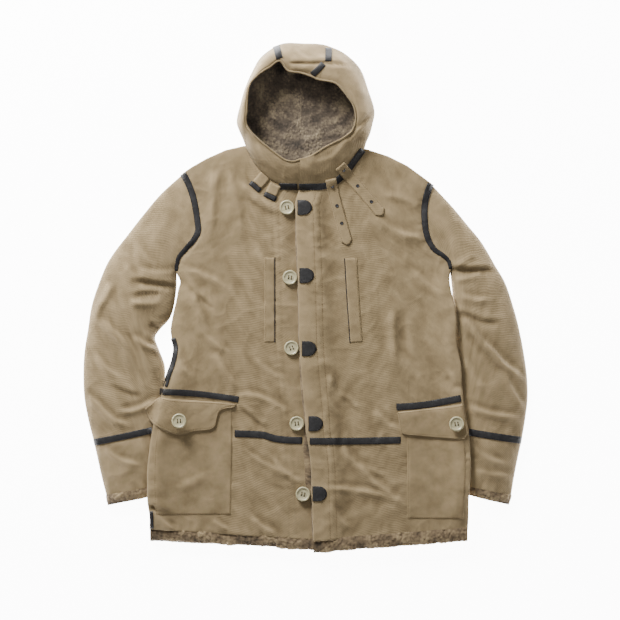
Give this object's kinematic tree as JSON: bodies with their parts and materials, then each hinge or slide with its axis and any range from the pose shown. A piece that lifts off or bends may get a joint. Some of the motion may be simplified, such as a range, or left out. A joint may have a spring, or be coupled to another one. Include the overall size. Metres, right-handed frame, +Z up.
{
  "type": "hooded military jacket laid flat",
  "caption": "Hooded jacket with a pile lining, closed and laid flat front up, with taped seams, flapped pockets, throat straps and large buttons.",
  "frame": {"origin": "middle of the outline, on the surface that the jacket lies on", "axes": "+Z up from the surface, +Y towards the hood, +X towards the wearer's left"},
  "size_m": [0.89, 1.019, 0.0658],
  "materials": {
    "cloth": "tan heavy cotton, matt, puckered at the seams",
    "pile": "grey-brown curly pile",
    "leather": "black leather, soft gloss",
    "button": "cream, satin"
  },
  "bodies": {
    "root": {"back": "cloth", "front_left": "cloth", "front_right": "cloth", "sleeve_upper_left": "cloth", "sleeve_upper_right": "cloth", "sleeve_lower_left": "cloth", "sleeve_lower_right": "cloth", "hood_left": "cloth", "hood_centre": "cloth", "hood_right": "cloth", "hood_back": "cloth", "hood_lining": "pile", "front_edge_pile": "pile", "hem_pile_left": "pile", "hem_pile_right": "pile", "hem_pile_back": "pile", "cuff_pile_left": "pile", "cuff_pile_right": "pile", "armhole_tape_left": "leather", "armhole_tape_right": "leather", "hood_tape_left": "leather", "hood_tape_right": "leather", "neck_tape_left": "leather", "neck_tape_right": "leather", "waist_tape_left": "leather", "waist_tape_right": "leather", "pocket_tape_left": "leather", "pocket_tape_right": "leather", "sleeve_tape_left": "leather", "sleeve_tape_right": "leather", "side_tape_left_upper": "leather", "side_tape_left_lower": "leather", "chest_welt_left": "cloth", "chest_welt_right": "cloth", "pocket_left": "cloth", "pocket_right": "cloth", "flap_left": "cloth", "flap_right": "cloth", "throat_strap_upper": "cloth", "throat_strap_lower": "cloth", "strap_end_upper": "cloth", "strap_end_lower": "cloth", "strap_buckle_upper": "leather", "strap_buckle_lower": "leather", "front_tab_1": "leather", "front_tab_2": "leather", "front_tab_3": "leather", "front_tab_4": "leather", "front_tab_5": "leather", "button_1": "button", "button_2": "button", "button_3": "button", "button_4": "button", "button_5": "button", "pocket_button_left": "button", "pocket_button_right": "button"}
  },
  "joints": []
}
